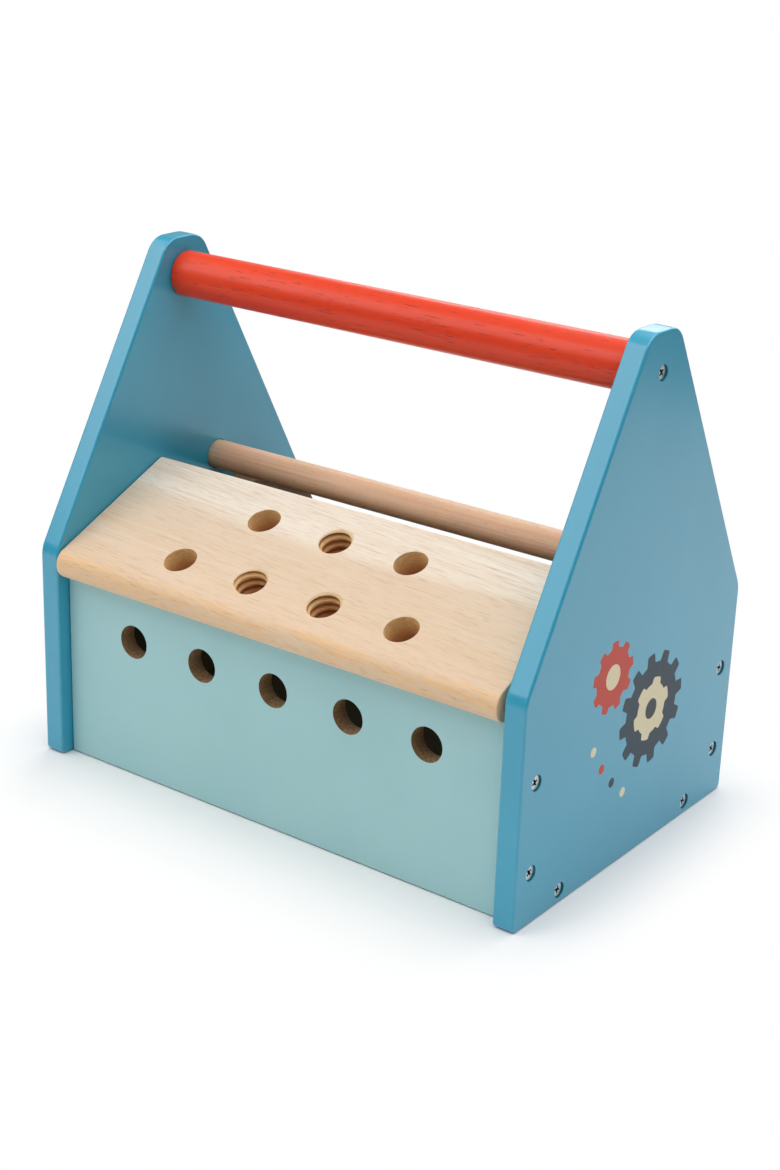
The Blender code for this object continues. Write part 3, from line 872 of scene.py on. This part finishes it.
def zinc_steel(name):
    """Zinc-plated steel, faintly brushed and slightly cloudy, with painted shade in dark grey down in a
    recess.
    """
    finish = Finish(bpy.data.materials.new(name))
    cloud = finish.noise((0.0012, 0.0012, 0.0012), detail=3)
    scratch = finish.noise((0.004, 0.0002, 0.0002), detail=2)
    plated = finish.blend(cloud, srgb(206, 214, 217), srgb(232, 236, 238))
    finish.set(
        # Painted shade: down in the cross recess the steel is coloured dark grey.
        Base_Color=finish.blend(finish.cut(), plated, srgb(44, 48, 54)),
        Metallic=1.0,
        Roughness=0.34 + 0.16 * cloud,
        Normal=finish.bump(scratch, 0.00001),
    )
    return finish


def cross_screw(length):
    """The skin of a screw in (depth, across, up), from the floor of its recess to its tip.

    A row is a ring whose radius at each angle runs from the cross's outline to a circle, and the
    thread adds a ridge that climbs one pitch a turn and fades in after the shank and out to the tip.
    """
    edge = math.atan2(cross_half_width, cross_half_length)
    eighth = np.concatenate([np.linspace(0, edge, 3)[:-1], np.linspace(edge, math.pi / 4, 5)[:-1]])
    quarter = np.concatenate([eighth, math.pi / 2 - np.concatenate([eighth[1:], [math.pi / 4]])[::-1]])
    angle = (quarter + math.pi / 2 * np.arange(4)[:, None]).ravel()
    fold = np.abs((angle + math.pi / 4) % (math.pi / 2) - math.pi / 4)
    wide = cross_half_width / np.maximum(np.sin(fold), 1e-6)
    cross = np.minimum(cross_half_length / np.cos(fold), wide)
    head, rim, shank = screw_head_radius, screw_head_rim, screw_shank_radius
    recess = [
        (cross_depth, 0.25), (cross_depth * 0.98, 0.6), (cross_depth * 0.85, 0.72),
        (0.00012, 0.97), (0.00003, 1.02), (0.0, 1.08),
    ]
    outside = softened([
        (0, head * 0.85), (0, head), (rim, head), (rim + screw_head_cone, shank),
        (screw_plain_length, shank),
    ], screw_eases)
    start, finish = screw_plain_length, length - screw_tip
    along = np.arange(start, length, screw_pitch / screw_rows_per_pitch)[1:]
    taper = np.clip((length - along) / screw_tip, 0.06, 1)
    fade = np.clip((along - start) / screw_pitch, 0, 1) * taper
    inner = screw_core_radius
    cores = [shank, inner, inner, inner * screw_point_share]
    core = np.interp(along, [start, start + screw_pitch, finish, length], cores)
    off_crest = along[:, None] / screw_pitch - angle / (2 * math.pi)
    off_crest = np.abs(off_crest - np.round(off_crest))
    ridge = np.clip(1 - off_crest / screw_ridge_half_width, 0, 1)
    threaded = core[:, None] + (screw_crest_radius - inner) * fade[:, None] * ridge
    depth = np.concatenate([[down for down, _ in recess], outside[:, 0], along])
    radius = np.concatenate([
        [scale * cross for _, scale in recess],
        np.repeat(outside[:, 1:], len(angle), axis=1),
        threaded,
    ])
    return depth[:, None], radius * np.cos(angle), radius * np.sin(angle)


steel = zinc_steel("zinc-plated steel")
for side, end in ends:
    bar(f"swing_pin_{end}", f"lid_pin_{end}", steel, "lid", "bright_steel", pin_ease, 0.0, bore_sides)
turns = np.random.default_rng(turn_seed)
for node in sorted(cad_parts):
    if "screw" not in node:
        continue
    low, high = (np.array(corner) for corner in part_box(node))
    outward = 1 if node.endswith("right") else -1
    inward = outward if node.startswith("cleat") else -outward
    face = low[0] if inward > 0 else high[0]
    depth, across, up = cross_screw(high[0] - low[0])
    lean = turns.uniform(0, math.pi / 2)
    middle = place(node)
    points = np.stack([
        face + inward * depth + 0 * across,
        middle[1] + across * math.cos(lean) - up * math.sin(lean),
        middle[2] + across * math.sin(lean) + up * math.cos(lean),
    ], axis=-1)
    shell = Shell()
    in_recess = np.arange(len(points)) < recess_shade_rows
    rings = shell.grid(points, in_recess[:, None])
    shell.fill(rings[0])
    shell.fill(rings[-1])
    shell.make(f"wood_{node}", steel, "box", "bright_steel", node)

# Studio
# A white sheet in soft light from above, from the front left, from the left and from behind, with
# a little from the right. The camera, which stands where the photograph was taken, sees the sheet
# fade to pure white within a few centimetres of the box.

sheet_reach = 0.7
sheet_grey = 0.91
white_edge = 0.048
front_stretch = 0.5
box_reach = (0.137, 0.083)
surroundings = 0.16
lamp_aim = (0, 0, 0.1)
camera_place = (0.52764, -0.72024, 0.43946)
camera_azimuth = math.radians(36.13)
camera_elevation = math.radians(21.07)
camera_roll = math.radians(2.01)
focal_length_pixels = 2036.34
picture_height_pixels = 1170
sensor = 36.0


def white_sheet(name):
    """Matt white sheet. What the camera sees of it fades to pure white away from the box."""
    finish = Finish(bpy.data.materials.new(name))
    seen = finish.node("LightPath", {}, {}, "Is Camera Ray")
    x, y, z = finish.parts(finish.spot())
    past_x = finish.math("MAXIMUM", finish.math("ABSOLUTE", x) - box_reach[0], 0.0)
    past_y = finish.math("MAXIMUM", y - box_reach[1], front_stretch * (-box_reach[1] - y))
    past_y = finish.math("MAXIMUM", past_y, 0.0)
    far = finish.rise((past_x * past_x + past_y * past_y) ** 0.5, 0.0, white_edge)
    grey = finish.blend(seen * far, (sheet_grey, sheet_grey, sheet_grey, 1), (0, 0, 0, 1))
    glow = finish.blend(seen * far, (0, 0, 0, 1), (1, 1, 1, 1))
    finish.set(Base_Color=grey, Emission_Color=glow)
    finish.set(Emission_Strength=1.0, Roughness=1.0, Specular_IOR_Level=0.0)
    return finish


sheet = bpy.data.meshes.new("sheet")
corners = np.array([(-1, -1, 0), (1, -1, 0), (1, 1, 0), (-1, 1, 0)]) * sheet_reach
sheet.from_pydata(corners.tolist(), [], [(0, 1, 2, 3)])
sheet.materials.append(white_sheet("white sheet").owner)
ground = bpy.data.objects.new("studio_sheet", sheet)
bpy.context.scene.collection.objects.link(ground)

world = bpy.data.worlds.new("pale studio")
bpy.context.scene.world = world
sky = Finish(world, "Background")
seen = sky.node("LightPath", {}, {}, "Is Camera Ray")
strength = sky.node("MapRange", {}, {"Value": seen, "To Min": surroundings, "To Max": 1.0})
sky.set(Color=(1, 1, 1, 1), Strength=strength)


def lamp(name, where, width, height, power):
    """A soft rectangular lamp that shines from a place at the box."""
    light = bpy.data.lights.new(name, "AREA")
    light.shape = "RECTANGLE"
    light.size = width
    light.size_y = height
    light.energy = power
    made = bpy.data.objects.new(name, light)
    made.location = where
    made.rotation_euler = (Vector(lamp_aim) - Vector(where)).to_track_quat("-Z", "Y").to_euler()
    bpy.context.scene.collection.objects.link(made)


lamp("overhead", (0.35, 0.1, 2.1), 3.4, 2.2, 50.0)
lamp("front left", (-1.3, -1.5, 1.75), 1.6, 1.6, 20.0)
lamp("left", (-2.0, -0.2, 1.5), 1.4, 1.4, 9.0)
lamp("right", (2.0, 0.2, 1.5), 1.4, 1.4, 1.5)
lamp("back", (-0.4, 2.2, 1.15), 2.6, 0.8, 20.0)

camera_data = bpy.data.cameras.new("camera")
camera_data.sensor_width = sensor
camera_data.lens = focal_length_pixels * sensor / picture_height_pixels
camera = bpy.data.objects.new("camera", camera_data)
back = Vector((
    math.sin(camera_azimuth) * math.cos(camera_elevation),
    -math.cos(camera_azimuth) * math.cos(camera_elevation),
    math.sin(camera_elevation),
))
right = Vector((0, 0, 1)).cross(back).normalized()
turn = Matrix.Rotation(camera_roll, 3, back)
axes = [turn @ right, turn @ back.cross(right), back]
camera.matrix_world = Matrix.Translation(camera_place) @ Matrix(axes).transposed().to_4x4()
bpy.context.scene.collection.objects.link(camera)
bpy.context.scene.camera = camera
bpy.context.scene.view_settings.view_transform = "Standard"
